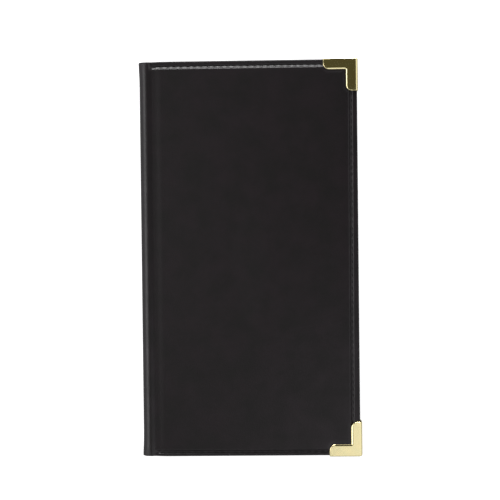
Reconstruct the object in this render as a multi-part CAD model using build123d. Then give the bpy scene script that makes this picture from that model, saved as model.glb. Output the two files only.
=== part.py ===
from build123d import *
import math
import os

# Guest check presenter, closed and lying on its back cover. Millimetres, +Z up.
# X runs from the spine to the fore edge, Y from the bottom edge to the top edge.
# The origin is under the middle of the folder, on the surface that it lies on.

# ---- Whole folder ----
cover_width = 139.7         # outer face of the spine to the leather at the fore edge
cover_height = 254.0        # bottom edge to top edge

# ---- Layers of one cover, from the outside in ----
skin = 0.7                  # simulated leather
foam = 1.2                  # foam sheet glued under the leather
board = 1.8                 # greyboard panel
turn_in = 0.4               # leather pared thin and turned over the board
lining = 0.4                # lining sheet
pocket_sheet = 0.4          # one layer of a pocket

# ---- Edges of a cover ----
turn_in_width = 12.0        # how far the leather runs over the inside of the board
lining_inset = 1.5          # lining and pockets stop this far from the edge
panel_inset = 4.3           # the padded panel starts this far from the edge
panel_round = 0.8           # along the edge of the padded panel
rim_round = 0.9             # along the outer edge of the rim
rim_inner_round = 0.25      # along the inner edge of the rim

# ---- Spine and creases ----
spine_flat = 2.0            # flat strip down the middle of the spine
crease_gap = 0.3            # between the spine's layers and a cover's, at the crease
crease_to_board = 2.9       # where the round ends to the edge of the board
crease_to_valley = 1.6      # where the round ends to the middle of the valley
valley_radius = 3.0
valley_depth = 0.5

# ---- Perimeter seam ----
thread_width = 0.5
thread_height = 0.3         # sunk flush into the leather
seam_inset = 3.5            # middle of the seam to the edge
seam_from_board = 0.8       # the seam starts this far past the edge of the board

# ---- Pockets ----
pocket_from_board = 4.0     # edge of the board to the pocket's spine side
pocket_height = 100.0
hem_width = 5.0             # folded edge on the spine side, sewn to the lining
pocket_seam_inset = 2.0     # middle of a pocket's seam to the edge of its sheet
pocket_thread_height = 0.2  # lies on the pocket
card_length = 85.6          # a bank card, and the room round it
card_clearance = 2.4
card_margin = 4.0           # width of the card pocket's sewn sides
card_pocket_height = 58.0
card_pocket_rise = 16.0     # bottom of the check pocket to the bottom of the card pocket
card_room = 0.3             # space behind the card pocket's sheet

# ---- Brass corners ----
corner_arm = 21.5           # length of each arm, from the outer corner
corner_arm_width = 7.0
corner_end_round = 4.0      # on the inner corner of each arm's end
corner_wall = 0.6           # brass round the edge of the cover
corner_face = 0.9           # brass on the outer face, above the rim
corner_sheet = 0.5          # brass on the inner face
corner_bevel_width = 1.1    # bevel along the inner edge of the outer face
corner_bevel_height = 0.6
corner_edge_round = 0.4
corner_clearance = 0.4      # padded panel to the arm
corner_gap = 0.4            # between the brass of the two covers when closed

# ---- Levels of the back cover, up from the surface that it lies on ----
rim_level = foam
board_level = skin + foam
board_top = board_level + board
window_level = board_top + lining
turn_in_level = board_top + turn_in
lining_level = turn_in_level + lining
pocket_level = lining_level + pocket_sheet
card_level = pocket_level + card_room + pocket_sheet
closed_thickness = 2 * (pocket_level + corner_sheet) + corner_gap
mid_plane = Plane.XY.offset(closed_thickness / 2)

# ---- Places along X and Y ----
crease_radius = (closed_thickness - spine_flat) / 2
spine_face = -(cover_width + corner_wall) / 2
crease_end = spine_face + crease_radius
board_edge = crease_end + crease_to_board
fore_edge = spine_face + cover_width
top_edge = cover_height / 2
panel_fore_edge = fore_edge - panel_inset
panel_top_edge = top_edge - panel_inset
brass_fore_edge = fore_edge + corner_wall
brass_top_edge = top_edge + corner_wall


# ---- Small helpers ----
def slab(x_range, y_range, z_range):
    """A box between the two limits given for each axis."""
    ranges = (x_range, y_range, z_range)
    sizes = [high - low for low, high in ranges]
    middle = [(low + high) / 2 for low, high in ranges]
    return Pos(*middle) * Box(*sizes)


def both_ways(reach):
    """Limits the same distance each side of the middle."""
    return (-reach, reach)


def around(middle, width):
    """Limits half a width each side of a line."""
    return (middle - width / 2, middle + width / 2)


def along_spine(section, half_length):
    """A section drawn across the folder, extruded along the spine."""
    return extrude(Plane.XZ * section, amount=half_length, both=True)


def same(first, second):
    return math.isclose(first, second, abs_tol=1e-6)


# ---- Bend at the spine: rounded outlines nested inside each other ----
def bend_outline(depth):
    """Section of the closed folder at the spine, this deep under its outer face."""
    width = board_edge - spine_face - depth
    height = closed_thickness - 2 * depth
    outline = Pos(board_edge - width / 2, closed_thickness / 2) * Rectangle(width, height)
    spine_corners = outline.vertices().group_by(Axis.X)[0]
    return fillet(spine_corners, crease_radius - depth)


def bend_layer(outer_depth, inner_depth):
    """One layer of the bend, from one board's edge round the spine to the other's."""
    return bend_outline(outer_depth) - bend_outline(inner_depth)


# The layers are cut along the diagonal of each round, where the hinge line lies too.
# Half the gap is taken from each side of the cut.
diagonal_shift = crease_gap / math.sqrt(2)
beyond = 2 * closed_thickness


def spine_zone():
    """The part of the bend that belongs to the spine."""
    low = crease_radius + diagonal_shift
    high = closed_thickness - low
    corners = [
        (crease_end, low),
        (crease_end - beyond, low - beyond),
        (crease_end - beyond, high + beyond),
        (crease_end, high),
    ]
    return make_face(Polyline(*corners, close=True))


def back_zone():
    """The part of the bend that belongs to the back cover."""
    high = crease_radius - diagonal_shift
    corners = [
        (crease_end, high),
        (crease_end - beyond, high - beyond),
        (board_edge, high - beyond),
        (board_edge, high),
    ]
    return make_face(Polyline(*corners, close=True))


def valley(depth=0.0):
    """Round bar that presses the valley beside the spine, to this deep under its face."""
    bar = Cylinder(valley_radius + depth, 2 * cover_height)
    centre = Pos(crease_end + crease_to_valley, 0, valley_depth - valley_radius)
    return centre * Rot(90, 0, 0) * bar


# ---- Room that the brass corners take out of the padded panel ----
def corner_notches(margin):
    """Two crossing slabs for each corner, larger than the arms by the margin."""
    long_reach = corner_arm + margin
    short_reach = corner_arm_width + margin
    notches = []
    for reach_x, reach_y in ((long_reach, short_reach), (short_reach, long_reach)):
        x_range = (brass_fore_edge - reach_x, brass_fore_edge)
        top_range = (brass_top_edge - reach_y, brass_top_edge)
        bottom_range = (-brass_top_edge, reach_y - brass_top_edge)
        notches.append(slab(x_range, top_range, (0, board_level)))
        notches.append(slab(x_range, bottom_range, (0, board_level)))
    return notches


# ---- Foam: one sheet over the panel and into the crease ----
def make_padding():
    crease_section = bend_layer(skin, board_level) & back_zone()
    crease_foam = along_spine(crease_section, top_edge - skin)
    panel_foam = slab(
        (board_edge, panel_fore_edge - skin),
        both_ways(panel_top_edge - skin),
        (skin, board_level),
    )
    panel_foam -= corner_notches(corner_clearance + skin)
    return crease_foam + panel_foam - valley(skin)


# ---- Greyboard panel ----
def make_board():
    x_range = (board_edge, fore_edge - skin)
    return slab(x_range, both_ways(top_edge - skin), (board_level, board_top))


# ---- Perimeter seam: thread along three sides, open towards the spine ----
def make_seam():
    z_range = (rim_level, rim_level + thread_height)
    side_x = around(fore_edge - seam_inset, thread_width)
    top_y = around(top_edge - seam_inset, thread_width)
    bottom_y = around(seam_inset - top_edge, thread_width)
    along_x = (board_edge + seam_from_board, side_x[1])
    side = slab(side_x, (bottom_y[0], top_y[1]), z_range)
    return side + slab(along_x, top_y, z_range) + slab(along_x, bottom_y, z_range)


# ---- Leather: over the foam and round the board, turned in on three sides ----
def free_edges(block, level):
    """The edges of a block at one level, without the one on the spine side."""
    edges = [e for e in block.edges() if same(e.center().Z, level)]
    return [e for e in edges if not same(e.center().X, board_edge)]


def make_rim():
    rim = slab((board_edge, fore_edge), both_ways(top_edge), (rim_level, turn_in_level))
    rim = fillet(free_edges(rim, rim_level), rim_round)
    return fillet(free_edges(rim, turn_in_level), rim_inner_round)


def make_panel():
    panel = slab(
        (board_edge, panel_fore_edge), both_ways(panel_top_edge), (0, rim_level)
    )
    panel -= corner_notches(corner_clearance)
    return fillet(free_edges(panel, 0), panel_round)


# Inside of the turned-in leather, where the lining lies straight on the board.
window = slab(
    (board_edge, fore_edge - turn_in_width),
    both_ways(top_edge - turn_in_width),
    (board_top, turn_in_level),
)


def make_skin(padding, board_panel, seam):
    crease_section = bend_layer(0, board_level) & back_zone()
    crease_skin = along_spine(crease_section, top_edge)
    wrap = crease_skin + make_rim() + make_panel()
    return wrap - padding - board_panel - seam - window - valley()


# ---- Lining: over the turned-in leather, down over the board's edge, into the crease ----
def make_lining():
    half_height = top_edge - lining_inset
    spine_side = board_edge - lining
    sheet = slab(
        (spine_side, fore_edge - lining_inset),
        both_ways(half_height),
        (board_top, lining_level),
    )
    turned_leather = slab(
        (board_edge, fore_edge), both_ways(top_edge), (board_top, turn_in_level)
    )
    sunk_part = slab(
        (spine_side, fore_edge - turn_in_width - lining),
        both_ways(top_edge - turn_in_width - lining),
        (window_level, lining_level),
    )
    lip = slab((spine_side, board_edge), both_ways(half_height), (board_level, board_top))
    crease_section = bend_layer(board_level, board_level + lining) & back_zone()
    crease_lining = along_spine(crease_section, half_height)
    return sheet - (turned_leather - window) - sunk_part + lip + crease_lining


# ---- Check pocket: caught in the edge on two sides, hemmed on the spine side ----
pocket_start = board_edge + pocket_from_board
pocket_end = fore_edge - lining_inset
pocket_bottom = lining_inset - top_edge
pocket_mouth = pocket_bottom + pocket_height


def make_pocket(lining_sheet):
    y_range = (pocket_bottom, pocket_mouth)
    sheet = slab((pocket_start, pocket_end), y_range, (lining_level, pocket_level))
    hem_x = (pocket_start, pocket_start + hem_width)
    hem = slab(hem_x, y_range, (window_level, lining_level))
    return sheet + (hem - lining_sheet)


def make_pocket_thread():
    """One run down the hem and one along the mouth, both clear of the brass."""
    z_range = (pocket_level, pocket_level + pocket_thread_height)
    hem_x = around(pocket_start + pocket_seam_inset, thread_width)
    mouth_y = around(pocket_mouth - pocket_seam_inset, thread_width)
    hem_run = slab(hem_x, (pocket_bottom + corner_arm_width, mouth_y[1]), z_range)
    mouth_run = slab((hem_x[0], pocket_end - corner_arm_width), mouth_y, z_range)
    return hem_run + mouth_run


# ---- Card pocket, sewn on the check pocket ----
card_pocket_x = around(
    (pocket_start + pocket_end) / 2, card_length + card_clearance + 2 * card_margin
)
card_pocket_bottom = pocket_bottom + card_pocket_rise
card_pocket_mouth = card_pocket_bottom + card_pocket_height


def make_card_pocket():
    y_range = (card_pocket_bottom, card_pocket_mouth)
    block = slab(card_pocket_x, y_range, (pocket_level, card_level))
    room = slab(
        (card_pocket_x[0] + card_margin, card_pocket_x[1] - card_margin),
        (card_pocket_bottom + card_margin, card_pocket_mouth),
        (pocket_level, pocket_level + card_room),
    )
    return block - room


def make_card_thread():
    """A run up each side and one along the bottom."""
    z_range = (card_level, card_level + pocket_thread_height)
    low_y = around(card_pocket_bottom + pocket_seam_inset, thread_width)
    left_x = around(card_pocket_x[0] + pocket_seam_inset, thread_width)
    right_x = around(card_pocket_x[1] - pocket_seam_inset, thread_width)
    side_y = (low_y[0], card_pocket_mouth - pocket_seam_inset)
    bottom_run = slab((left_x[0], right_x[1]), low_y, z_range)
    return bottom_run + slab(left_x, side_y, z_range) + slab(right_x, side_y, z_range)


# ---- Brass corner, folded round both edges of a cover ----
def corner_outline():
    """An L in plan, its outer corner at the top of the fore edge, its arm ends rounded."""
    at_corner = (Align.MAX, Align.MAX)
    square = Rectangle(corner_arm, corner_arm, align=at_corner)
    inside = Pos(-corner_arm_width, -corner_arm_width) * square
    outline = Pos(brass_fore_edge, brass_top_edge) * (square - inside)
    # The inner corners of the two arm ends lie on one diagonal, which picks them out.
    diagonal = brass_fore_edge + brass_top_edge - corner_arm - corner_arm_width
    arm_ends = [v for v in outline.vertices() if same(v.X + v.Y, diagonal)]
    return fillet(arm_ends, corner_end_round)


def make_corner(inner_level):
    """A corner at the top of the fore edge, its inner sheet lying at inner_level."""
    face_level = rim_level - corner_face
    height = inner_level + corner_sheet - face_level
    cap = Pos(0, 0, face_level) * extrude(corner_outline(), amount=height)

    def on_wall(edge):
        middle = edge.center()
        return same(middle.X, brass_fore_edge) or same(middle.Y, brass_top_edge)

    outer_face = cap.faces().sort_by(Axis.Z)[0]
    bevelled = [e for e in outer_face.edges() if not on_wall(e)]
    cap = chamfer(bevelled, corner_bevel_height, corner_bevel_width, reference=outer_face)
    level_edges = cap.edges().filter_by(Plane.XY)
    cap = fillet([e for e in level_edges if on_wall(e)], corner_edge_round)
    cover = slab(
        (spine_face, fore_edge), both_ways(top_edge), (rim_level, inner_level)
    )
    return cap - cover


# ---- Back cover ----
back_padding = make_padding()
back_board = make_board()
back_seam_thread = make_seam()
back_outer_skin = make_skin(back_padding, back_board, back_seam_thread)
back_lining = make_lining()
back_check_pocket = make_pocket(back_lining)
back_pocket_thread = make_pocket_thread()
back_top_corner = make_corner(lining_level)
back_bottom_corner = make_corner(pocket_level).mirror(Plane.XZ)

parts = {
    "back_outer_skin": back_outer_skin,
    "back_padding": back_padding,
    "back_board": back_board,
    "back_lining": back_lining,
    "back_check_pocket": back_check_pocket,
    "back_pocket_thread": back_pocket_thread,
    "back_card_pocket": make_card_pocket(),
    "back_card_thread": make_card_thread(),
    "back_seam_thread": back_seam_thread,
    "back_top_corner": back_top_corner,
    "back_bottom_corner": back_bottom_corner,
}

# ---- Spine: the middle of each bent layer, with the leather turned in at both ends ----
padding_section = bend_layer(skin, board_level) & spine_zone()
lining_section = bend_layer(board_level, board_level + lining) & spine_zone()
wrap_section = bend_layer(0, board_level) & spine_zone()
spine_padding = along_spine(padding_section, top_edge - skin)
parts["spine_padding"] = spine_padding
parts["spine_lining"] = along_spine(lining_section, top_edge - lining_inset)
parts["spine_outer_skin"] = along_spine(wrap_section, top_edge) - spine_padding

# ---- Front cover: the back cover seen in a mirror, without the card pocket ----
front_twins = {
    "front_outer_skin": back_outer_skin,
    "front_padding": back_padding,
    "front_board": back_board,
    "front_lining": back_lining,
    "front_receipt_pocket": back_check_pocket,
    "front_pocket_thread": back_pocket_thread,
    "front_seam_thread": back_seam_thread,
    "front_top_corner": back_top_corner,
    "front_bottom_corner": back_bottom_corner,
}
for name, twin in front_twins.items():
    parts[name] = twin.mirror(mid_plane)

os.makedirs("parts", exist_ok=True)
for name, part in parts.items():
    part.label = name
    export_step(part, f"parts/{name}.step")
    print(name, "solids", len(part.solids()), "volume", round(part.volume, 1))

# Each hinge line lies where the leather keeps its length as its quarter round opens flat.
hinge_from_face = crease_radius * (1 - math.pi / 4)
print("closed thickness", round(closed_thickness, 3))
print("hinge lines at X", round(spine_face + hinge_from_face, 3))
print("back crease at Z", round(hinge_from_face, 3))
print("front crease at Z", round(closed_thickness - hinge_from_face, 3))
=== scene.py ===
import math
import bmesh
import bpy
from mathutils import Matrix, Vector


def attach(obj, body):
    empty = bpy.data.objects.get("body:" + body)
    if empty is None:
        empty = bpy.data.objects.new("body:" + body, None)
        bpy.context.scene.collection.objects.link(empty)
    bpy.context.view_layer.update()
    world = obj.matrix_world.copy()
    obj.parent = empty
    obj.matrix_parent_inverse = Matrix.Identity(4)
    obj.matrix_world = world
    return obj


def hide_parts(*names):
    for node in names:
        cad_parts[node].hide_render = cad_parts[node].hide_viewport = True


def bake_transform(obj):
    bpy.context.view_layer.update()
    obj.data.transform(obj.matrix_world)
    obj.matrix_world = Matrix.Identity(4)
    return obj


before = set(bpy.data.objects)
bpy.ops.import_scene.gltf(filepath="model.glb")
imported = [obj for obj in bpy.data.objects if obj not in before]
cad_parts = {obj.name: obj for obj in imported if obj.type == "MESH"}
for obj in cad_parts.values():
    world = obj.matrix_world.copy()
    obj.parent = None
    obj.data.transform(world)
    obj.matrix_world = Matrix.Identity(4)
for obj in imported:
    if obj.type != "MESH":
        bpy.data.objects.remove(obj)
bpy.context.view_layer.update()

# Guest check presenter, closed and lying on its back cover. Sizes are in millimetres
# and become metres as each piece is finished. X runs from the spine to the fore edge,
# Y from the bottom edge to the top edge, Z up.


# ---- Studio: camera, floor and lights ----
# The folder lies on a wide pale table. The camera hangs almost straight above it on a
# long lens. One softbox stands low past the top edge, and one high past the spine.

camera = bpy.data.objects.new("camera", bpy.data.cameras.new("camera"))
bpy.context.scene.collection.objects.link(camera)
camera.data.lens = 85.0
camera.data.sensor_width = 36.0
camera.data.clip_start = 0.01
camera.data.clip_end = 50.0
camera.location = (0.02016, 0.0170, 0.7672)
camera.rotation_euler = (math.radians(-0.887), math.radians(1.516), math.radians(-0.641))
bpy.context.scene.camera = camera
bpy.context.scene.view_settings.view_transform = "Standard"


def colour(code):
    """An sRGB hex code as a linear colour."""
    channels = [int(code[i:i + 2], 16) / 255 for i in (1, 3, 5)]
    linear = [c / 12.92 if c <= 0.04045 else ((c + 0.055) / 1.055) ** 2.4 for c in channels]
    return (*linear, 1.0)


def add_node(tree, kind, inputs=None, **settings):
    """A node with its settings. Each input is a value, or the output that feeds it."""
    node = tree.nodes.new(kind)
    for name, value in settings.items():
        setattr(node, name, value)
    for name, value in (inputs or {}).items():
        if isinstance(value, bpy.types.NodeSocket):
            tree.links.new(value, node.inputs[name])
        else:
            node.inputs[name].default_value = value
    return node


def new_material(name):
    """An empty material, its tree and its surface socket."""
    material = bpy.data.materials.new(name)
    material.use_nodes = True
    tree = material.node_tree
    tree.nodes.clear()
    output = tree.nodes.new("ShaderNodeOutputMaterial")
    return material, tree, output.inputs["Surface"]


# Matt white laminate: a flat, even ground that takes a soft shadow.
table_top, tree, surface = new_material("white_laminate_table")
laminate = add_node(tree, "ShaderNodeBsdfDiffuse", {"Color": colour("#c4c4c4")})
glow = add_node(tree, "ShaderNodeEmission", {"Color": colour("#ffffff"), "Strength": 0.80})
path = add_node(tree, "ShaderNodeLightPath")
seen = add_node(tree, "ShaderNodeMixShader", {0: path.outputs["Is Camera Ray"], 2: glow.outputs[0]})
lit = add_node(tree, "ShaderNodeAddShader", {0: laminate.outputs[0], 1: seen.outputs[0]})
tree.links.new(lit.outputs[0], surface)

bm = bmesh.new()
bmesh.ops.create_grid(bm, x_segments=2, y_segments=2, size=6.0)
floor_mesh = bpy.data.meshes.new("table_top")
bm.to_mesh(floor_mesh)
bm.free()
floor = bpy.data.objects.new("table_top", floor_mesh)
floor.location.z = -0.0002
floor_mesh.materials.append(table_top)
bpy.context.scene.collection.objects.link(floor)

world = bpy.data.worlds.new("white_studio")
bpy.context.scene.world = world
world.use_nodes = True
tree = world.node_tree
tree.nodes.clear()
path = add_node(tree, "ShaderNodeLightPath")
shown = add_node(tree, "ShaderNodeMath", {
    0: path.outputs["Is Camera Ray"], 1: path.outputs["Is Glossy Ray"]}, operation="MAXIMUM")
shown = add_node(tree, "ShaderNodeMath", {
    0: shown.outputs[0], 1: path.outputs["Is Transmission Ray"]}, operation="MAXIMUM")
walls = add_node(tree, "ShaderNodeBackground", {"Color": colour("#ffffff"), "Strength": 1.0})
fill = add_node(tree, "ShaderNodeBackground", {"Color": colour("#ffffff"), "Strength": 0.45})
mixed = add_node(tree, "ShaderNodeMixShader", {
    0: shown.outputs[0], 1: fill.outputs[0], 2: walls.outputs[0]})
output = tree.nodes.new("ShaderNodeOutputWorld")
tree.links.new(mixed.outputs[0], output.inputs["Surface"])


def softbox(name, place, target, size, power):
    """A rectangular soft light that faces its target."""
    light = bpy.data.lights.new(name, "AREA")
    light.shape = "RECTANGLE"
    light.size, light.size_y = size
    light.energy = power
    lamp = bpy.data.objects.new(name, light)
    lamp.location = place
    lamp.rotation_euler = (Vector(target) - Vector(place)).to_track_quat("-Z", "Y").to_euler()
    bpy.context.scene.collection.objects.link(lamp)
    return lamp


softbox("top_edge_softbox", (0.0, 1.35, 0.40), (0, 0, 0), (1.8, 0.40), 34.0)
softbox("spine_softbox", (-0.98, 0.0, 1.38), (0, 0, 0), (1.2, 1.2), 13.0)

# Dark cards keep the glare of the white room off the leather: one hangs above the lens,
# and two stand low by the fore edge and the bottom edge. The polished brass at the top
# shows the hanging one. The bottom corner shows the white room where it is cut away.
card, tree, surface = new_material("glowing_olive_card")
# The cards glow: their emission is painted light. It stands in for the room light that a dark olive
# card would give back, and it shows only in reflections.
card_glow = add_node(tree, "ShaderNodeEmission", {"Color": colour("#4d4a37"), "Strength": 1.0})
tree.links.new(card_glow.outputs[0], surface)
card_x = (-0.90, 0.06, 0.90)
card_y = (-1.05, -0.22, 2.00)
hanging_height = 1.30
standing_away = 1.10
standing_height = 0.32
standing_half_width = 0.9

bm = bmesh.new()
bmesh.ops.create_grid(bm, x_segments=2, y_segments=2, size=1.0)
for v in bm.verts:
    v.co = (card_x[round(v.co.x + 1)], card_y[round(v.co.y + 1)], hanging_height)
cut_away = []
for face in bm.faces:
    middle = face.calc_center_median()
    if middle.x > card_x[1] and middle.y < card_y[1]:
        cut_away.append(face)
bmesh.ops.delete(bm, geom=cut_away, context="FACES")
standing_place = Matrix.Translation((standing_away, 0, standing_height / 2))
standing_size = Matrix.Diagonal((standing_height / 2, standing_half_width, 1, 1))
for turn in (0, -math.pi / 2):
    turned_place = Matrix.Rotation(turn, 4, "Z") @ standing_place
    upright = turned_place @ Matrix.Rotation(math.pi / 2, 4, "Y")
    bmesh.ops.create_grid(bm, x_segments=1, y_segments=1, size=1.0, matrix=upright @ standing_size)
card_mesh = bpy.data.meshes.new("dark_cards")
bm.to_mesh(card_mesh)
bm.free()
dark_cards = bpy.data.objects.new("dark_cards", card_mesh)
card_mesh.materials.append(card)
dark_cards.visible_camera = False
dark_cards.visible_diffuse = False
dark_cards.visible_shadow = False
bpy.context.scene.collection.objects.link(dark_cards)


# ---- Greyboard panels ----
# Each cover is stiffened by a panel of 1.8 mm recycled greyboard, guillotined square.
# The foam and the leather are glued round it, so none of it shows.

# Greyboard: dull warm grey with paper flecks and a fibrous cut edge.
greyboard, tree, surface = new_material("recycled_greyboard")
place = add_node(tree, "ShaderNodeTexCoord")
fibres = add_node(tree, "ShaderNodeTexNoise", {
    "Vector": place.outputs["Object"], "Scale": 900.0, "Detail": 4.0})
flecks = add_node(tree, "ShaderNodeTexVoronoi", {"Vector": place.outputs["Object"], "Scale": 450.0})
speck = add_node(tree, "ShaderNodeMapRange", {
    "Value": flecks.outputs["Distance"], "From Min": 0.05, "From Max": 0.25})
pulp = add_node(tree, "ShaderNodeMix", {
    "Factor": fibres.outputs["Fac"], "A": colour("#7d776c"), "B": colour("#9c968a")},
    data_type="RGBA")
flecked = add_node(tree, "ShaderNodeMix", {
    "Factor": speck.outputs[0], "A": colour("#5c574f"), "B": pulp.outputs["Result"]},
    data_type="RGBA")
tooth = add_node(tree, "ShaderNodeBump", {
    "Height": fibres.outputs["Fac"], "Strength": 0.5, "Distance": 0.0001})
shader = add_node(tree, "ShaderNodeBsdfPrincipled", {
    "Base Color": flecked.outputs["Result"], "Roughness": 0.9, "Normal": tooth.outputs["Normal"]})
tree.links.new(shader.outputs[0], surface)

for name in ("back_board", "front_board"):
    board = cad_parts[name]
    board.data.materials.clear()
    board.data.materials.append(greyboard)


# ---- Foam sheets ----
# A sheet of 1.2 mm closed-cell foam is glued over each board and round the spine, and
# the leather is stretched over it. It is rounded off along the seam.

closed_thickness = 11.2
spine_face = -70.15
fore_edge = 69.55
top_edge = 127.0
crease_radius = 4.6
half_strip = 1.0            # half the flat strip down the middle of the spine
crease_end = spine_face + crease_radius
board_edge = -62.65
skin = 0.7
board_level = 1.9           # leather and foam together
mm = 0.001

# Distances across the sheet are measured on its outer face from the middle of the spine.
round_end = half_strip + crease_radius * math.pi / 2
across_from_x = round_end - crease_end


def marks(*runs):
    """Places along a line, from runs of (start, end, number of steps)."""
    found = [runs[0][0]]
    for start, end, steps in runs:
        found += [start + (end - start) * k / steps for k in range(1, steps + 1)]
    return found


def both_sides(half):
    """Places from a middle of 0 outwards, repeated on the other side."""
    return [-y for y in reversed(half[1:])] + half


def cut_sheet(across, along):
    """A flat sheet with a line at each place. Its UV map keeps the flat cut, in metres."""
    bm = bmesh.new()
    columns, rows = len(across) - 1, len(along) - 1
    bmesh.ops.create_grid(bm, x_segments=columns, y_segments=rows, size=1.0)
    for v in bm.verts:
        column = round((v.co.x + 1) / 2 * columns)
        row = round((v.co.y + 1) / 2 * rows)
        v.co = (across[column], along[row], 0)
    flat_cut = bm.loops.layers.uv.new("flat_cut")
    for face in bm.faces:
        for loop in face.loops:
            loop[flat_cut].uv = loop.vert.co.xy * mm
    return bm


def bend(across, depth):
    """Where a point of the back cover lies, this far across and this deep."""
    if across < half_strip:
        return spine_face + depth, closed_thickness / 2 - across
    if across < round_end:
        angle = (round_end - across) / crease_radius
        reach = crease_radius - depth
        return crease_end - reach * math.sin(angle), crease_radius - reach * math.cos(angle)
    return across - across_from_x, depth


def ease(value, start, end):
    """0 before start, 1 after end, and a smooth rise in between."""
    t = min(1.0, max(0.0, (value - start) / (end - start)))
    return t * t * (3 - 2 * t)


def hump(distance, width):
    """1 in the middle, and nearly 0 two widths away."""
    return math.exp(-(distance / width) ** 2)


def finish_piece(bm, name, material, front=False, bottom=False, smooth_angle=180):
    """Turns a piece of the back cover's top into its place, and makes it an object."""
    if front:
        bmesh.ops.scale(bm, vec=(1, 1, -1), verts=bm.verts)
        bmesh.ops.translate(bm, vec=(0, 0, closed_thickness), verts=bm.verts)
    if bottom:
        bmesh.ops.scale(bm, vec=(1, -1, 1), verts=bm.verts)
    if front != bottom:
        bmesh.ops.reverse_faces(bm, faces=bm.faces)
    bmesh.ops.scale(bm, vec=(mm, mm, mm), verts=bm.verts)
    mesh = bpy.data.meshes.new(name)
    bm.to_mesh(mesh)
    bm.free()
    mesh.shade_smooth()
    if smooth_angle < 180:
        mesh.set_sharp_from_angle(angle=math.radians(smooth_angle))
    mesh.materials.append(material)
    piece = bpy.data.objects.new(name, mesh)
    bpy.context.scene.collection.objects.link(piece)
    return piece


def bend_with_cover(piece, side, depth):
    """Bakes a piece's placement into its mesh. The crease's ends between the spine and one cover
    are worked out but not used.
    """
    low = Vector((crease_end, 0, depth)) * mm
    high = Vector((spine_face + depth, 0, crease_radius)) * mm
    if side == "back":
        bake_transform(piece)
    else:
        low.z, high.z = closed_thickness * mm - low.z, closed_thickness * mm - high.z
        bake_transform(piece)


# Closed-cell foam: charcoal, matt, with fine cells.
foam, tree, surface = new_material("closed_cell_foam")
place = add_node(tree, "ShaderNodeUVMap", uv_map="flat_cut")
cells = add_node(tree, "ShaderNodeTexVoronoi", {"Vector": place.outputs["UV"], "Scale": 2500.0})
tone = add_node(tree, "ShaderNodeMix", {
    "Factor": cells.outputs["Distance"], "A": colour("#3a3a3c"), "B": colour("#57575a")},
    data_type="RGBA")
pits = add_node(tree, "ShaderNodeBump", {
    "Height": cells.outputs["Distance"], "Strength": 0.6, "Distance": 0.0001})
shader = add_node(tree, "ShaderNodeBsdfPrincipled", {
    "Base Color": tone.outputs["Result"], "Roughness": 0.95, "Normal": pits.outputs["Normal"]})
tree.links.new(shader.outputs[0], surface)

foam_edge_x = 64.3
foam_edge_y = 121.8
foam_slope = 1.6            # it thins over this width along its edge
foam_low = board_level - 0.1    # its upper face along its edge
foam_base = board_level - 0.05  # its lower face, on the board
below_leather = 0.15        # the leather's back to its upper face
finer_x, finer_y = 62, 119  # its lines lie closer past these places


def foam_depth(x, y):
    """The foam thins to nothing along the seam."""
    from_edge = min(foam_edge_x - x, foam_edge_y - abs(y))
    return foam_low - (foam_low - skin - below_leather) * ease(from_edge, 0.0, foam_slope)


for side in ("back", "front"):
    across = marks(
        (0, half_strip, 1), (half_strip, round_end, 8),
        (round_end, finer_x + across_from_x, 24),
        (finer_x + across_from_x, foam_edge_x + across_from_x, 6))
    along = both_sides(marks((0, finer_y, 20), (finer_y, foam_edge_y, 6)))
    bm = cut_sheet(across, along)
    under = bmesh.ops.duplicate(bm, geom=bm.verts[:] + bm.edges[:] + bm.faces[:])
    lower = [v for v in under["geom"] if isinstance(v, bmesh.types.BMVert)]
    lower_places = set(lower)
    for v in bm.verts:
        x = v.co.x - across_from_x
        depth = foam_base if v in lower_places else foam_depth(x, v.co.y)
        bent_x, bent_z = bend(v.co.x, depth)
        v.co = (bent_x, v.co.y, bent_z)
    bmesh.ops.reverse_faces(bm, faces=[f for f in bm.faces if f.verts[0] not in lower_places])
    rims = [e for e in bm.edges if e.is_boundary]
    bmesh.ops.bridge_loops(bm, edges=rims)
    bmesh.ops.recalc_face_normals(bm, faces=bm.faces)
    pad = finish_piece(bm, f"{side}_foam_sheet", foam, front=side == "front")
    bend_with_cover(pad, side, skin)
    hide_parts(f"{side}_padding", "spine_padding")


# ---- Outer wraps ----
# Simulated leather, 0.7 mm, cut flat, stretched over the foam and turned in round the
# board. It is one sheet on the real folder, shown as two that meet down the spine.

rim_depth = 1.0             # the sewn rim lies this far under the padded panel
turn_in_level = 4.1
turn_in_width = 12.0
pared_level = 1.4           # at the spine the turned-in leather is pared thin
pared_width = 0.40          # and turned in this share as far, so that it folds easily
edge_round = 0.85
inner_round = 0.35
seam_inset = {"side": 4.1, "top": 3.15, "bottom": 2.4}
seam_drift = 0.0035         # the fore-edge seam runs this much askew
stitch_pitch = 4.3
arm_end_round = 4.0

pad_width = 2.05            # the padded panel rises over this width past the seam
steep_share, gentle_share = 0.93, 0.07  # so much there, the rest over the next few mm
groove_depth = 0.5          # the seam lies in a groove
pucker_depth = 0.36         # each stitch hole pulls a dimple beside the seam
bead_height = 0.11          # a low ridge between the seam and the edge
rim_start, rim_full = -64.6, -61.8      # the sewn rim begins where the spine ends
sewn_start, sewn_full = -62.8, -60.4    # and its groove a little further on
roll_middle, roll_width, roll_swell = -64.8, 1.4, 0.2
valley_start, valley_end, valley_depth = -65.3, -61.6, 0.42
climb_start, climb_knee, climb_end = -60.2, -56.0, -15.0
fast_climb, slow_climb = 0.65, 0.35     # shares of the climb before and after the knee
gather_x, gather_in, gather_width, gather_depth = -62.3, 4.9, 0.8, 0.2
panel_swell = 0.3
swell_half_x, swell_half_y = 64, 121
pressed_level = 0.62        # under a brass arm
beside_level = 0.40         # beside it, up to press_reach away
press_reach = 2.8

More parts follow.
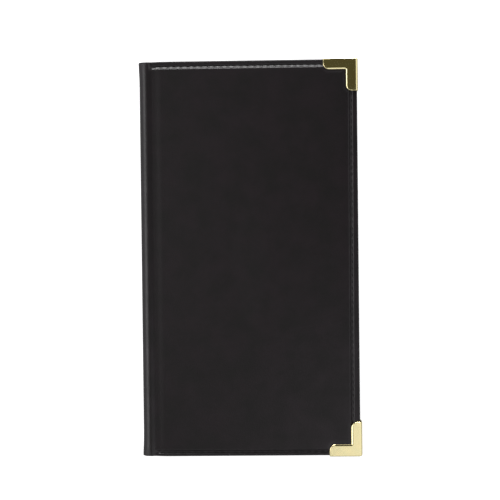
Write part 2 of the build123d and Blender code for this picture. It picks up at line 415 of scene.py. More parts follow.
# Each brass corner as fitted: where its two arms end, their inner edges, its outer edge.
brass_fit = {
    "top": {
        "left": 47.95, "low": 106.65, "inner_x": 62.35, "inner_y": 120.3,
        "outer_x": 70.15, "outer_y": 127.8, "lip_height": 0.62},
    "bottom": {
        "left": 49.85, "low": 105.5, "inner_x": 63.75, "inner_y": 119.8,
        "outer_x": 70.75, "outer_y": 127.75, "lip_height": 0.48}}

# The turned edge, as lengths along the flat sheet: rounded edge, side, inner round.
first_turn = edge_round * math.pi / 2
side_height = turn_in_level - inner_round - rim_depth - edge_round
side_end = first_turn + side_height
second_turn = side_end + inner_round * math.pi / 2
fore_start = fore_edge - edge_round
top_start = top_edge - edge_round


def rim_level_at(x):
    """Depth of the sewn rim: it runs out where the spine begins."""
    return rim_depth * ease(x, rim_start, rim_full)


def over_board_at(x):
    """0 in the crease, 1 on the board, and a short climb over the board's edge."""
    return ease(x, board_edge - 0.6, board_edge + 0.3)


def inner_level_at(x):
    """Depth of the turned-in leather: it climbs over the edge of the board."""
    in_crease = pared_level + (board_level - pared_level) * ease(x, -65.0, -63.6)
    return in_crease + (turn_in_level - board_level) * over_board_at(x)


def turned(past, x):
    """How far inside the edge and how deep a point lies, this far past the first turn."""
    rim, inner = rim_level_at(x), inner_level_at(x)
    if past <= first_turn:
        angle = past / edge_round
        return edge_round * (1 - math.sin(angle)), rim + edge_round * (1 - math.cos(angle))
    if past <= side_end:
        part = (past - first_turn) / side_height
        top = rim + edge_round
        return 0.0, top + part * (inner - inner_round - top)
    if past <= second_turn:
        angle = (past - side_end) / inner_round
        return inner_round * (1 - math.cos(angle)), inner - inner_round * (1 - math.sin(angle))
    share = pared_width + (1 - pared_width) * over_board_at(x)
    return inner_round + (past - second_turn) * share, inner


def from_arms(x, y):
    """Distance from the outline of the brass arms, seen from above."""
    fit = brass_fit["top" if y > 0 else "bottom"]
    best = 99.0
    for end_x, end_y in ((fit["left"], fit["inner_y"]), (fit["inner_x"], fit["low"])):
        dx = end_x - x + arm_end_round
        dy = end_y - abs(y) + arm_end_round
        outside = math.hypot(max(dx, 0), max(dy, 0)) + min(max(dx, dy), 0) - arm_end_round
        best = min(best, outside)
    return best


def seam_at(x, y):
    """How far inside the seam line a point lies, and how far along it."""
    in_side = fore_edge - x - seam_inset["side"] + seam_drift * y
    in_end = top_edge - abs(y) - seam_inset["top" if y > 0 else "bottom"]
    return (in_side, y) if in_side < in_end else (in_end, x)


def roll_at(x):
    """How far the spine's roll swells out here."""
    return roll_swell * hump(x - roll_middle, roll_width)


def valley_at(x):
    """How deep the valley is that lies over the edge of the board, past the roll."""
    return valley_depth * ease(x, valley_start, valley_end)


def panel_depth(x, y, free):
    """Depth of the outer face inside the first turn. Only the free, upper face swells."""
    from_end = top_edge - abs(y)
    from_edge = min(fore_edge - x, from_end)
    inside, along_seam = seam_at(x, y)
    rim = rim_level_at(x)
    straight = min(1.0, max(0.0, inside / pad_width))
    steep = 0.5 * straight + 0.5 * ease(inside, 0.0, pad_width)
    pad = steep_share * steep + gentle_share * ease(inside, 1.0, 7.0)
    pull = 0.5 + 0.5 * math.cos(2 * math.pi * along_seam / stitch_pitch)
    seam = rim / rim_depth
    sewn = seam * ease(x, sewn_start, sewn_full)
    groove = groove_depth * ease(inside, -0.95, 0.0)
    pucker = pucker_depth * pull * hump(inside - 1.0, 0.6)
    past_round = ease(from_edge, edge_round, edge_round + 0.6)
    bead = -bead_height * hump(inside + 1.15, 0.7) * past_round
    depth = (rim + sewn * groove) * (1 - pad) + sewn * (pucker + bead)
    depth -= free * roll_at(x)
    climb = (fast_climb * ease(x, climb_start, climb_knee)
        + slow_climb * ease(x, climb_knee, climb_end))
    depth += valley_at(x) * (1 - climb) * (1 - seam * (1 - pad))
    # The leather is gathered where the seam runs into the spine.
    past_x, past_in = (x - gather_x) / gather_width, (from_end - gather_in) / gather_width
    depth += gather_depth * math.exp(-past_x ** 2 - past_in ** 2)
    round_x = max(0.0, 1 - (x / swell_half_x) ** 2)
    depth -= free * panel_swell * round_x * max(0.0, 1 - (y / swell_half_y) ** 2)
    # The brass arms press it down, and it swells out beside them.
    gap = from_arms(x, y)
    if gap > press_reach:
        return depth
    pressed = pressed_level * ease(-gap, -0.1, 0.5)
    beside = beside_level * (1 - ease(gap, 0.3, press_reach))
    return max(depth, pressed, beside)


def roll_facing(across):
    """How far the outer face turns towards -X here, as an angle: 0 on top of the roll."""
    return min(math.pi / 2, max(0.0, (round_end - across) / crease_radius))


spine_shorter, spine_squarer = 0.4, 0.55
spine_flare, spine_drop = 0.5, 0.45


def fold_leather(v, free):
    """Takes a point of the flat sheet to its place on the back cover."""
    across, x, y = v.co.x, v.co.x - across_from_x, v.co.y
    past_side, past_end = x - fore_start, abs(y) - top_start
    side_in, side_depth = edge_round - past_side, rim_depth
    if past_side > 0:
        side_in, side_depth = turned(past_side, fore_edge)
    end_in, end_depth = edge_round - past_end, rim_depth
    if past_end > 0:
        end_in, end_depth = turned(past_end, x)
    if past_side <= 0 and past_end <= 0:
        depth = panel_depth(x, y, free)
    elif past_end <= 0:
        depth = side_depth
    elif past_side <= 0:
        depth = end_depth
    elif past_side <= first_turn and past_end <= first_turn:
        level = math.cos(past_side / edge_round) * math.cos(past_end / edge_round)
        depth = rim_depth + edge_round * (1 - level)
    else:
        depth = max(side_depth, end_depth)
    # Turned-in leather is mitred at the corners.
    if past_side > side_end:
        end_in = max(end_in, side_in)
    if past_end > side_end and past_side > -turn_in_width:
        side_in = max(side_in, end_in)
    place_y = math.copysign(top_edge - end_in, y) if past_end > 0 or past_side > side_end else y
    if past_side > 0 or past_end > side_end and past_side > -turn_in_width:
        v.co = (fore_edge - side_in, place_y, depth)
        return
    # The spine's ends are squarer and a little shorter, drop and flare sideways.
    on_roll = 1 - ease(x, -66.5, -62.0)
    from_end = max(0.0, top_edge - abs(place_y))
    near_spine = 1 - ease(x, -68.0, -54.0)
    shorter = spine_shorter * near_spine * ease(abs(y), top_start - 9.0, top_start)
    if past_end <= first_turn:
        squarer = spine_squarer * on_roll * ease(abs(y), top_start - 3.0, top_start)
        place_y = math.copysign(top_edge - from_end * (1 - squarer), y)
        depth -= (depth - rim_level_at(x)) * squarer * ease(past_end, 0, 0.4)
    if past_end > 0:
        down_side = 1 - ease(past_end, 0, side_end)
        depth += valley_at(x) * down_side * (1 - ease(x, rim_start, rim_full))
        depth -= free * roll_at(x) * (1 - ease(past_end, 0, first_turn))
    facing = roll_facing(across)
    bent_x, bent_z = bend(across, depth)
    flare = spine_flare * hump(from_end, 8.0) * on_roll * math.sin(facing)
    bent_x -= flare * (1 - ease(past_end, side_end, second_turn))
    drop = spine_drop * hump(from_end, 3.5) * on_roll * math.cos(facing)
    bent_z += drop * (1 - ease(past_end, 0, side_end))
    v.co = (bent_x, place_y - math.copysign(shorter, y), bent_z)


def flat_cut_in_mm(tree):
    """Places on the flat cut, in millimetres."""
    place = add_node(tree, "ShaderNodeUVMap", uv_map="flat_cut")
    return add_node(tree, "ShaderNodeVectorMath", {
        0: place.outputs["UV"], "Scale": 1000.0}, operation="SCALE")


# Simulated leather: PVC on a cloth back, embossed with a fine pebble grain, near black
# with a warm cast. Satin, a little glossier in its paler patches, softly mottled.
leather, tree, surface = new_material("embossed_pvc_leather")
in_mm = flat_cut_in_mm(tree)
mottle = add_node(tree, "ShaderNodeTexNoise", {
    "Vector": in_mm.outputs[0], "Scale": 1 / 16.0, "Detail": 4.0, "Roughness": 0.55})
pebbles = add_node(tree, "ShaderNodeTexVoronoi", {
    "Vector": in_mm.outputs[0], "Scale": 1 / 0.75}, feature="SMOOTH_F1")
creases = add_node(tree, "ShaderNodeTexNoise", {
    "Vector": in_mm.outputs[0], "Scale": 1 / 1.6, "Detail": 5.0, "Roughness": 0.6})
patches = add_node(tree, "ShaderNodeMapRange", {
    "Value": mottle.outputs["Fac"], "From Min": 0.35, "From Max": 0.65})
base = add_node(tree, "ShaderNodeMix", {
    "Factor": patches.outputs[0], "A": colour("#0b080b"), "B": colour("#171216")}, data_type="RGBA")
gloss = add_node(tree, "ShaderNodeMapRange", {
    "Value": mottle.outputs["Fac"], "From Min": 0.3, "From Max": 0.7, "To Min": 0.37,
    "To Max": 0.31})
relief = add_node(tree, "ShaderNodeMath", {
    0: pebbles.outputs["Distance"], 1: creases.outputs["Fac"]}, operation="ADD")
grain = add_node(tree, "ShaderNodeBump", {
    "Height": relief.outputs[0], "Strength": 0.35, "Distance": 0.00012})
shader = add_node(tree, "ShaderNodeBsdfPrincipled", {
    "Base Color": base.outputs["Result"], "Roughness": gloss.outputs[0],
    "Specular IOR Level": 0.365, "Normal": grain.outputs["Normal"]})
tree.links.new(shader.outputs[0], surface)

merge_distance, sliver = 0.002, 0.001
fore_line = across_from_x + fore_start
across_lines = marks(
    (0, half_strip, 1), (half_strip, round_end, 18),
    (round_end, across_from_x - 60.5, 14),
    (across_from_x - 60.5, across_from_x + 46.5, 149),
    (across_from_x + 46.5, across_from_x + 50.5, 8),
    (across_from_x + 50.5, across_from_x + 61, 14),
    (across_from_x + 61, across_from_x + 64, 6),
    (across_from_x + 64, fore_line, 16),
    (fore_line, fore_line + first_turn, 5),
    (fore_line + first_turn, fore_line + side_end, 2),
    (fore_line + side_end, fore_line + second_turn, 2),
    (fore_line + second_turn, fore_line + second_turn + turn_in_width, 3))
along_lines = both_sides(marks(
    (0, 103.5, 144), (103.5, 107.5, 8), (107.5, 118.5, 15), (118.5, 121.5, 7),
    (121.5, top_start, 16), (top_start, top_start + first_turn, 5),
    (top_start + first_turn, top_start + side_end, 2),
    (top_start + side_end, top_start + second_turn, 2),
    (top_start + second_turn, top_start + second_turn + turn_in_width, 3)))

for side, free in (("back", 0.0), ("front", 1.0)):
    bm = cut_sheet(across_lines, along_lines)
    # The square of leather past both sides of a corner is cut away.
    waste = []
    for face in bm.faces:
        middle = face.calc_center_median()
        past_side = middle.x - across_from_x > fore_start + first_turn
        if past_side and abs(middle.y) > top_start + first_turn:
            waste.append(face)
    bmesh.ops.delete(bm, geom=waste, context="FACES")
    for v in bm.verts:
        fold_leather(v, free)
    bmesh.ops.remove_doubles(bm, verts=bm.verts, dist=merge_distance)
    bmesh.ops.dissolve_degenerate(bm, dist=sliver, edges=bm.edges)
    bmesh.ops.reverse_faces(bm, faces=bm.faces)
    wrap = finish_piece(bm, f"{side}_leather_wrap", leather, front=side == "front")
    bend_with_cover(wrap, side, 0)
    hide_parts(f"{side}_outer_skin", "spine_outer_skin")


# ---- Linings ----
# The inside of each cover and of the spine is lined with black twill-woven polyester,
# glued over the turned-in leather and caught in the edge seam. It stops short of the edge.

lining_level = 4.5
window_level = 4.1          # where the lining lies straight on the board
crease_lining_level = 2.3
lining_inset = 1.5
window_x = fore_edge - turn_in_width
window_y = top_edge - turn_in_width
step_before, step_past = 0.5, 0.7       # it steps over the end of the turn-in
climb_before, climb_past = 0.7, 0.3     # and climbs over the edge of the board
lining_pull = 0.12          # the edge seam pulls it in so far

# Lining cloth: fine black twill, matt, with a faint slanting rib.
lining_cloth, tree, surface = new_material("black_twill_lining")
in_mm = flat_cut_in_mm(tree)
ribs = add_node(tree, "ShaderNodeTexWave", {
    "Vector": in_mm.outputs[0], "Scale": 0.5, "Distortion": 0.4, "Detail": 2.0},
    bands_direction="DIAGONAL")
picks = add_node(tree, "ShaderNodeTexWave", {
    "Vector": in_mm.outputs[0], "Scale": 0.62, "Distortion": 0.3}, bands_direction="Y")
slubs = add_node(tree, "ShaderNodeTexNoise", {
    "Vector": in_mm.outputs[0], "Scale": 1 / 9.0, "Detail": 5.0})
weave = add_node(tree, "ShaderNodeMath", {
    0: ribs.outputs["Fac"], 1: picks.outputs["Fac"]}, operation="MULTIPLY")
thread_tone = add_node(tree, "ShaderNodeMix", {
    "Factor": weave.outputs[0], "A": colour("#161618"), "B": colour("#29292c")}, data_type="RGBA")
worn_tone = add_node(tree, "ShaderNodeMix", {
    "Factor": slubs.outputs["Fac"], "A": thread_tone.outputs["Result"], "B": colour("#222225")},
    data_type="RGBA")
relief = add_node(tree, "ShaderNodeBump", {
    "Height": weave.outputs[0], "Strength": 0.5, "Distance": 0.0001})
shader = add_node(tree, "ShaderNodeBsdfPrincipled", {
    "Base Color": worn_tone.outputs["Result"], "Roughness": 0.8, "Sheen Weight": 0.15,
    "Normal": relief.outputs["Normal"]})
tree.links.new(shader.outputs[0], surface)


def stitch_pull(along, pitch):
    """How hard a seam pulls at this place along it: most at the holes."""
    return 0.4 + 0.6 * (0.5 + 0.5 * math.cos(2 * math.pi * along / pitch))


def seam_pull(x, y):
    """How hard the edge seam pulls the cloth in here, from 0 to 1."""
    inside, along_seam = seam_at(x, y)
    return stitch_pull(along_seam, stitch_pitch) * hump(inside, 0.8)


def lining_depth(x, y):
    over_side = ease(x, window_x - step_before, window_x + step_past)
    over_end = ease(abs(y), window_y - step_before, window_y + step_past)
    on_cover = window_level + (lining_level - window_level) * max(over_side, over_end)
    on_cover -= lining_pull * seam_pull(x, y)
    off_crease = ease(x, board_edge - climb_before, board_edge + climb_past)
    return crease_lining_level + (on_cover - crease_lining_level) * off_crease


lining_end = fore_edge - lining_inset
crease_line = across_from_x + board_edge
for side in ("back", "front"):
    across = marks(
        (0, half_strip, 1), (half_strip, round_end, 10),
        (round_end, crease_line - climb_before, 4),
        (crease_line - climb_before, crease_line + climb_past, 5),
        (crease_line + climb_past, across_from_x + 56.5, 110),
        (across_from_x + 56.5, across_from_x + 59, 6),
        (across_from_x + 59, across_from_x + 64.8, 5),
        (across_from_x + 64.8, across_from_x + lining_end, 6))
    along = both_sides(marks(
        (0, 114, 106), (114, 116.5, 6), (116.5, 122.2, 8),
        (122.2, top_edge - lining_inset, 6)))
    bm = cut_sheet(across, along)
    for v in bm.verts:
        depth = lining_depth(v.co.x - across_from_x, v.co.y)
        bent_x, bent_z = bend(v.co.x, depth)
        v.co = (bent_x, v.co.y, bent_z)
    cloth = finish_piece(bm, f"{side}_lining_cloth", lining_cloth, front=side == "front")
    cloth.modifiers.new("cloth_thickness", "SOLIDIFY").thickness = 0.35 * mm
    bend_with_cover(cloth, side, crease_lining_level)
    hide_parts(f"{side}_lining", "spine_lining")


# ---- Check pocket and receipt pocket ----
# A pocket of soft simulated leather crosses the lower part of each cover. Two of its sides
# are caught in the edge seam, the spine side is folded under and sewn, the mouth is folded.

pocket_level = 4.9
pocket_start = -58.65
pocket_bottom = -125.5
pocket_mouth = -25.5
pocket_seam = 2.0
pocket_pitch = 3.2
fold_band = 6.0
hem_turn, mouth_turn = 0.38, 0.30       # its folded edges turn down so far
fold_step = 0.14            # it is thinner past the band that is folded under
pocket_bow = 0.10           # its middle stands off a little
hem_pull, mouth_pull, caught_pull = 0.14, 0.12, 0.14
pull_width = 0.7

# Pocket leather: soft unpadded PVC with a finer, more matt grain than the cover.
pocket_leather, tree, surface = new_material("soft_pvc_pocket_leather")
in_mm = flat_cut_in_mm(tree)
grain_cells = add_node(tree, "ShaderNodeTexVoronoi", {
    "Vector": in_mm.outputs[0], "Scale": 1 / 0.6}, feature="SMOOTH_F1")
tone_noise = add_node(tree, "ShaderNodeTexNoise", {
    "Vector": in_mm.outputs[0], "Scale": 1 / 11.0, "Detail": 4.0})
tone = add_node(tree, "ShaderNodeMix", {
    "Factor": tone_noise.outputs["Fac"], "A": colour("#1b191b"), "B": colour("#272427")},
    data_type="RGBA")
sheen = add_node(tree, "ShaderNodeMapRange", {
    "Value": tone_noise.outputs["Fac"], "To Min": 0.62, "To Max": 0.5})
relief = add_node(tree, "ShaderNodeBump", {
    "Height": grain_cells.outputs["Distance"], "Strength": 0.4, "Distance": 0.0001})
shader = add_node(tree, "ShaderNodeBsdfPrincipled", {
    "Base Color": tone.outputs["Result"], "Roughness": sheen.outputs[0], "Specular IOR Level": 0.35,
    "Normal": relief.outputs["Normal"]})
tree.links.new(shader.outputs[0], surface)


def pocket_depth(x, y):
    from_hem, from_mouth = x - pocket_start, pocket_mouth - y
    depth = pocket_level
    depth -= hem_turn * (1 - ease(from_hem, 0, 0.8))
    depth -= mouth_turn * (1 - ease(from_mouth, 0, 0.7))
    depth -= fold_step * ease(from_mouth, fold_band - 0.3, fold_band + 0.5)
    bow = pocket_bow * ease(from_hem, 4, 30) * ease(from_mouth, fold_band, 35)
    depth += bow * ease(y - pocket_bottom, 4, 40) * ease(fore_edge - x, 6, 34)
    depth -= hem_pull * stitch_pull(y, pocket_pitch) * hump(from_hem - pocket_seam, pull_width)
    depth -= mouth_pull * stitch_pull(x, pocket_pitch) * hump(from_mouth - pocket_seam, pull_width)
    return depth - caught_pull * seam_pull(x, y)


both_pockets = (
    ("back", "check_pocket", "back_check_pocket"),
    ("front", "receipt_pocket", "front_receipt_pocket"))
for side, name, node in both_pockets:
    across = marks(
        (pocket_start, pocket_start + 4, 12), (pocket_start + 4, 63.5, 160),
        (63.5, lining_end, 10))
    along = marks(
        (pocket_bottom, pocket_bottom + 4.5, 9),
        (pocket_bottom + 4.5, pocket_mouth - fold_band - 1, 118),
        (pocket_mouth - fold_band - 1, pocket_mouth, 20))
    bm = cut_sheet(across, along)
    for v in bm.verts:
        v.co.z = pocket_depth(v.co.x, v.co.y)
    pocket = finish_piece(bm, name, pocket_leather, front=side == "front")
    pocket.modifiers.new("sheet_thickness", "SOLIDIFY").thickness = 0.36 * mm
    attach(pocket, f"{side}_cover")
    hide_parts(node)


# ---- Card pocket ----
# A smaller pocket for one bank card, of the same leather, sewn by three sides on the
# check pocket. Its sewn margins lie flat and its middle stands off to let a card in.

card_left, card_right = -43.3, 52.7
card_bottom, card_mouth = -109.5, -51.5
card_margin = 4.0
card_level = 5.6
card_stand_off = 0.34       # its middle stands off its sewn margins
card_side_turn, card_mouth_turn = 0.16, 0.22
card_pull = 0.12


def card_depth(x, y):
    from_sewn = min(x - card_left, card_right - x, y - card_bottom)
    from_mouth = card_mouth - y
    in_middle = ease(from_sewn, card_margin - 1.2, card_margin + 1.2)
    depth = card_level - card_stand_off + card_stand_off * in_middle
    depth -= card_side_turn * (1 - ease(from_sewn, 0, 0.6))
    depth -= card_mouth_turn * (1 - ease(from_mouth, 0, 0.7))
    along = y if from_sewn < y - card_bottom else x
    pull = stitch_pull(along, pocket_pitch)
    return depth - card_pull * pull * hump(from_sewn - pocket_seam, pull_width)


across = marks(
    (card_left, card_left + 6, 16), (card_left + 6, card_right - 6, 105),
    (card_right - 6, card_right, 16))
along = marks(
    (card_bottom, card_bottom + 6, 16), (card_bottom + 6, card_mouth - 2, 63),
    (card_mouth - 2, card_mouth, 6))
bm = cut_sheet(across, along)
for v in bm.verts:
    v.co.z = card_depth(v.co.x, v.co.y)
card_pocket = finish_piece(bm, "card_pocket", pocket_leather)
card_pocket.modifiers.new("sheet_thickness", "SOLIDIFY").thickness = 0.34 * mm
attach(card_pocket, "back_cover")
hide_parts("back_card_pocket")


# ---- Stitches ----
# Lockstitch in black bonded polyester, two plies laid together. Each stitch slants a
# little and dives into its holes. The edge seam shows on both faces of a cover.

thread_width = 0.6
stitch_rings = (-0.42, -0.28, -0.1, 0.1, 0.28, 0.42)    # along a stitch that is 1 long
ply_relief, ply_twist = 0.16, 5.0
end_taper, end_dive = 0.45, 1.15
stitch_overlap = 1.02       # each stitch runs a little past its holes
stitch_slant = 0.16

# Thread: black polyester with a soft shine along its plies.
thread, tree, surface = new_material("bonded_polyester_thread")
place = add_node(tree, "ShaderNodeUVMap", uv_map="flat_cut")
fibres = add_node(tree, "ShaderNodeTexWave", {
    "Vector": place.outputs["UV"], "Scale": 3.0, "Distortion": 1.5, "Detail": 2.0},
    bands_direction="DIAGONAL")
tone = add_node(tree, "ShaderNodeMix", {
    "Factor": fibres.outputs["Fac"], "A": colour("#0c0b0c"), "B": colour("#161517")},
    data_type="RGBA")
relief = add_node(tree, "ShaderNodeBump", {
    "Height": fibres.outputs["Fac"], "Strength": 0.3, "Distance": 0.00005})
shader = add_node(tree, "ShaderNodeBsdfPrincipled", {
    "Base Color": tone.outputs["Result"], "Roughness": 0.6, "Specular IOR Level": 0.22,
    "Normal": relief.outputs["Normal"]})
tree.links.new(shader.outputs[0], surface)

# One stitch, 1 long and 1 wide, lying along X and bulging towards +Z. Its ends are closed.
bm = bmesh.new()
bmesh.ops.create_cone(bm, cap_ends=True, segments=8, radius1=0.5, radius2=0.5, depth=1.0)
for cut in stitch_rings:
    whole = bm.verts[:] + bm.edges[:] + bm.faces[:]
    bmesh.ops.bisect_plane(bm, geom=whole, plane_co=(0, 0, cut), plane_no=(0, 0, 1))
flat_cut = bm.loops.layers.uv.new("flat_cut")
for face in bm.faces:
    for loop in face.loops:
        turn = math.atan2(loop.vert.co.y, loop.vert.co.x) / (2 * math.pi)
        loop[flat_cut].uv = (turn, loop.vert.co.z * 2)
for v in bm.verts:
    angle, place_along = math.atan2(v.co.y, v.co.x), v.co.z
    ply = 1 + ply_relief * math.cos(2 * (angle + place_along * ply_twist))
    reach = 0.5 * ply * (1 - end_taper * abs(2 * place_along) ** 4)
    sink = end_dive * abs(2 * place_along) ** 3
    v.co = (place_along, reach * math.cos(angle), reach * math.sin(angle) - sink)
bmesh.ops.recalc_face_normals(bm, faces=bm.faces)
one_stitch = bpy.data.meshes.new("one_stitch")
bm.to_mesh(one_stitch)
bm.free()


def sew(bm, start, end, pitch, level, outward):
    """Stitches from start to end, along X or along Y, with holes at multiples of the pitch."""
    along_x = abs(end[0] - start[0]) > abs(end[1] - start[1])
    along, side = (0, 1) if along_x else (1, 0)
    first, last = sorted((start[along], end[along]))
    hole = math.ceil(first / pitch - 1e-6)
    while (hole + 1) * pitch <= last + 1e-6:
        middle = (hole + 0.5) * pitch
        aside = (end[side] - start[side]) * (middle - start[along])
        beside = start[side] + aside / (end[along] - start[along])
        x, y = (middle, beside) if along_x else (beside, middle)
        before = len(bm.verts)
        bm.from_mesh(one_stitch)
        bm.verts.ensure_lookup_table()
        size = Matrix.Diagonal((pitch * stitch_overlap, thread_width, thread_width, 1))
        turn = Matrix.Rotation((0 if along_x else math.pi / 2) + stitch_slant, 4, "Z")
        flip = Matrix.Identity(4) if outward > 0 else Matrix.Rotation(math.pi, 4, "X")
        place = Matrix.Translation((x, y, level(x, y)))
        bmesh.ops.transform(bm, matrix=place @ turn @ flip @ size, verts=bm.verts[before:])
        hole += 1


seam_x = fore_edge - seam_inset["side"]
seam_spine_end = -64.0
under_brass = 3.5           # the edge seam runs on under the brass by about one stitch
pocket_seam_stop = 7.0      # a pocket's seam stops this far from the edge seam's side

# How far each thread lies below the face it is sewn on.
edge_stitch_in, lining_stitch_in, pocket_stitch_in, card_stitch_in = 0.50, 0.10, 0.08, 0.42


def outer_seam_level(x, y):
    return rim_level_at(x) + edge_stitch_in


def inner_seam_level(x, y):
    return (pocket_level if y < pocket_mouth else lining_level) - lining_stitch_in


def pocket_seam_level(x, y):
    return pocket_level - pocket_stitch_in


def card_seam_level(x, y):
    return card_level - card_stitch_in


for side in ("back", "front"):
    bm = bmesh.new()
    for level, outward in ((outer_seam_level, -1), (inner_seam_level, 1)):
        for end, up in (("top", 1), ("bottom", -1)):
            seam_y = up * (top_edge - seam_inset[end])
            near_arm = (brass_fit[end]["left"] + under_brass, seam_y)
            sew(bm, (seam_spine_end, seam_y), near_arm, stitch_pitch, level, outward)
        low_y = -brass_fit["bottom"]["low"] - under_brass
        high_y = brass_fit["top"]["low"] + under_brass
        low_end = (seam_x + seam_drift * low_y, low_y)
        high_end = (seam_x + seam_drift * high_y, high_y)
        sew(bm, low_end, high_end, stitch_pitch, level, outward)
    seam = finish_piece(bm, f"{side}_edge_stitches", thread, front=side == "front")
    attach(seam, f"{side}_cover")
    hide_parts(f"{side}_seam_thread")

    bm = bmesh.new()
    hem_x, mouth_y = pocket_start + pocket_seam, pocket_mouth - pocket_seam
    hem_end, corner = (hem_x, pocket_bottom + pocket_seam_stop), (hem_x, mouth_y)
    mouth_end = (lining_end - pocket_seam_stop, mouth_y)
    for start, end in ((hem_end, corner), (corner, mouth_end)):
        sew(bm, start, end, pocket_pitch, pocket_seam_level, 1)
    seam = finish_piece(bm, f"{side}_pocket_stitches", thread, front=side == "front")
    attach(seam, f"{side}_cover")
    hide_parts(f"{side}_pocket_thread")

bm = bmesh.new()
sewn_left, sewn_right = card_left + pocket_seam, card_right - pocket_seam
sewn_low, sewn_high = card_bottom + pocket_seam, card_mouth - pocket_seam
low_left, low_right = (sewn_left, sewn_low), (sewn_right, sewn_low)
high_left, high_right = (sewn_left, sewn_high), (sewn_right, sewn_high)
for start, end in ((low_left, low_right), (low_left, high_left), (low_right, high_right)):
    sew(bm, start, end, pocket_pitch, card_seam_level, 1)
seam = finish_piece(bm, "card_pocket_stitches", thread)
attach(seam, "back_cover")
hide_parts("back_card_thread")


# ---- Brass corners ----
# Each corner is one piece of 0.5 mm polished brass, folded round both edges of a cover.
# The lip round its outer face is pressed down into the leather.

face_level = 0.02
lip_width = 1.15
arm_end_lip = 0.4           # the lip narrows to this share of its width at the arm ends
brass_sheet = 0.5
fold_round = 1.3
side_fold_width = 2.0       # the fold over the fore edge is wider, over the end narrower
end_fold_width = 1.1
inner_corner_round = 0.25
lip_rings = 5
lip_narrow, lip_full = 0.8, 4.2         # from an arm's end, where the lip starts to widen

# Polished brass: mirror-like pale gold, faintly uneven from stamping, with hairline
# polishing marks and a warmer bloom in patches.
brass, tree, surface = new_material("polished_stamped_brass")
place = add_node(tree, "ShaderNodeTexCoord")
in_mm = add_node(tree, "ShaderNodeVectorMath", {
    0: place.outputs["Object"], "Scale": 1000.0}, operation="SCALE")
bloom = add_node(tree, "ShaderNodeTexNoise", {
    "Vector": in_mm.outputs[0], "Scale": 1 / 5.0, "Detail": 3.0})
waves = add_node(tree, "ShaderNodeTexNoise", {
    "Vector": in_mm.outputs[0], "Scale": 1 / 3.5, "Detail": 1.0})
turned_marks = add_node(tree, "ShaderNodeMapping", {
    "Vector": in_mm.outputs[0], "Rotation": (0, 0, 0.9)})
drawn_out = add_node(tree, "ShaderNodeVectorMath", {
    0: turned_marks.outputs[0], 1: (14.0, 0.5, 1.0)}, operation="MULTIPLY")
hairlines = add_node(tree, "ShaderNodeTexNoise", {
    "Vector": drawn_out.outputs[0], "Scale": 1.0, "Detail": 2.0})
tint = add_node(tree, "ShaderNodeMix", {
    "Factor": bloom.outputs["Fac"], "A": colour("#f5e2ab"), "B": colour("#eee8b8")},
    data_type="RGBA")
polish = add_node(tree, "ShaderNodeMapRange", {
    "Value": bloom.outputs["Fac"], "To Min": 0.08, "To Max": 0.17})
stamped = add_node(tree, "ShaderNodeBump", {
    "Height": waves.outputs["Fac"], "Strength": 0.10, "Distance": 0.0002})
scratched = add_node(tree, "ShaderNodeBump", {
    "Height": hairlines.outputs["Fac"], "Strength": 0.06, "Distance": 0.00002,
    "Normal": stamped.outputs["Normal"]})
shader = add_node(tree, "ShaderNodeBsdfPrincipled", {
    "Base Color": tint.outputs["Result"], "Metallic": 1.0, "Roughness": polish.outputs[0],
    "Normal": scratched.outputs["Normal"]})
tree.links.new(shader.outputs[0], surface)


def brass_shell(fit, inner_level):
    """The folded corner without its lip: outer face, two side walls, inner face."""
    bm = bmesh.new()
    left, low = fit["left"], fit["low"]
    inner_x, inner_y = fit["inner_x"], fit["inner_y"]
    outer_x, outer_y = fit["outer_x"], fit["outer_y"]
    outline = [
        (left, outer_y), (left, inner_y), (inner_x, inner_y),
        (inner_x, low), (outer_x, low), (outer_x, outer_y)]
    corners = [bm.verts.new((x, y, face_level)) for x, y in outline]
    bm.faces.new(corners)
    inner_corner = corners[2]
    bmesh.ops.bevel(
        bm, geom=[corners[1], corners[3]], offset=arm_end_round, segments=12,
        profile=0.5, affect="VERTICES", material=-1)
    bmesh.ops.bevel(
        bm, geom=[inner_corner], offset=inner_corner_round, segments=4,
        profile=0.5, affect="VERTICES", material=-1)
    walls = bmesh.ops.extrude_face_region(bm, geom=bm.faces[:], use_keep_orig=True)
    far_side = [g for g in walls["geom"] if isinstance(g, bmesh.types.BMVert)]
    bmesh.ops.translate(bm, vec=(0, 0, inner_level + brass_sheet - face_level), verts=far_side)

    def on_fold(part):
        along_x = all(abs(v.co.y - outer_y) < 1e-4 for v in part.verts)
        return along_x or all(abs(v.co.x - outer_x) < 1e-4 for v in part.verts)

    bm.normal_update()
    open_sides = [f for f in bm.faces if abs(f.normal.z) < 0.5 and not on_fold(f)]
    bmesh.ops.delete(bm, geom=open_sides, context="FACES")
    bmesh.ops.recalc_face_normals(bm, faces=bm.faces)
    folds = [e for e in bm.edges if len(e.link_faces) == 2 and on_fold(e)]
    bmesh.ops.bevel(
        bm, geom=folds, offset=fold_round, segments=6,
        profile=0.5, affect="EDGES", material=-1, clamp_overlap=True)
    return bm


def facing_out(place, fit, inner_level):
    """The direction in which the folded sheet faces at a place on it."""
    past_x = place.x - fit["outer_x"] + fold_round
    past_y = place.y - fit["outer_y"] + fold_round
    past_z = max(0.0, place.z - inner_level - brass_sheet + fold_round)
    past_z -= max(0.0, face_level + fold_round - place.z)
    return Vector((max(0.0, past_x), max(0.0, past_y), past_z)).normalized()


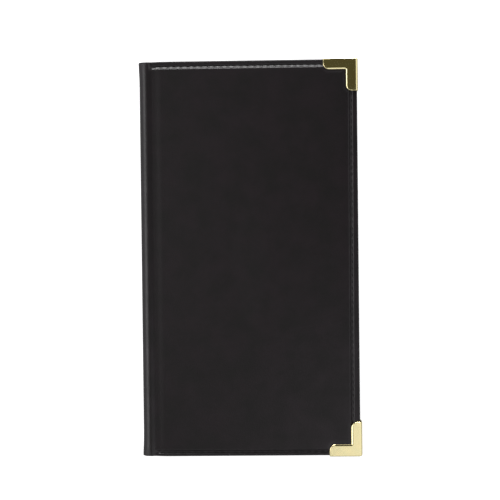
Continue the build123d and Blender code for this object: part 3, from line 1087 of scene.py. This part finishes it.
def press_lip(bm, fit, inner_level):
    """Rings round the open edge, each pressed further in, make a curved lip."""
    rings = [[v for v in bm.verts if v.is_boundary]]
    region = bm.faces[:]
    for step in range(lip_rings):
        known = set(bm.verts)
        bmesh.ops.inset_region(
            bm, faces=region, thickness=lip_width / lip_rings,
            use_boundary=True, use_even_offset=True)
        rings.append([v for v in bm.verts if v not in known])
    # The first inset's new corners travel inwards with the face, so they end innermost.
    rings.append(rings.pop(1))
    edge = [v.co.copy() for v in rings[0]]
    pressed = []
    for step, ring in enumerate(rings):
        drop = fit["lip_height"] * (1 - step / lip_rings) ** 2
        for v in ring:
            root = min(edge, key=lambda corner: (corner - v.co).length)
            from_arm_end = min(root.x - fit["left"], root.y - fit["low"])
            share = arm_end_lip + (1 - arm_end_lip) * ease(from_arm_end, lip_narrow, lip_full)
            inwards = -facing_out(root, fit, inner_level)
            pressed.append((v, root + (v.co - root) * share + inwards * drop * share))
    for v, place in pressed:
        v.co = place
        v.co.z = min(max(v.co.z, face_level), inner_level + brass_sheet)


def widen_folds(bm, fit):
    """Makes the fold over the fore edge wider, and the one over the end narrower."""
    on_edge = 0.001             # the lines where the folds begin belong to them
    for v in bm.verts:
        past_x = v.co.x - (fit["outer_x"] - fold_round)
        past_y = v.co.y - (fit["outer_y"] - fold_round)
        if past_x > -on_edge:
            v.co.x = fit["outer_x"] - (fold_round - past_x) * side_fold_width / fold_round
        if past_y > -on_edge:
            v.co.y = fit["outer_y"] - (fold_round - past_y) * end_fold_width / fold_round


def brass_corner(name, body, inner_level, node, front, bottom):
    fit = brass_fit["bottom" if bottom else "top"]
    bm = brass_shell(fit, inner_level)
    press_lip(bm, fit, inner_level)
    widen_folds(bm, fit)
    corner = finish_piece(bm, name, brass, front=front, bottom=bottom)
    thickness = corner.modifiers.new("sheet", "SOLIDIFY")
    thickness.thickness = brass_sheet * mm
    thickness.offset = -1.0
    soft = corner.modifiers.new("burr_free_edges", "BEVEL")
    soft.width = 0.08 * mm
    soft.segments = 2
    soft.limit_method = "ANGLE"
    soft.angle_limit = math.radians(60)
    even = corner.modifiers.new("even_shading", "WEIGHTED_NORMAL")
    even.keep_sharp = False
    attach(corner, body)
    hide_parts(node)


for side in ("back", "front"):
    for end, level in (("top", lining_level), ("bottom", pocket_level)):
        brass_corner(
            f"{side}_{end}_brass_corner", f"{side}_cover", level, f"{side}_{end}_corner",
            side == "front", end == "bottom")
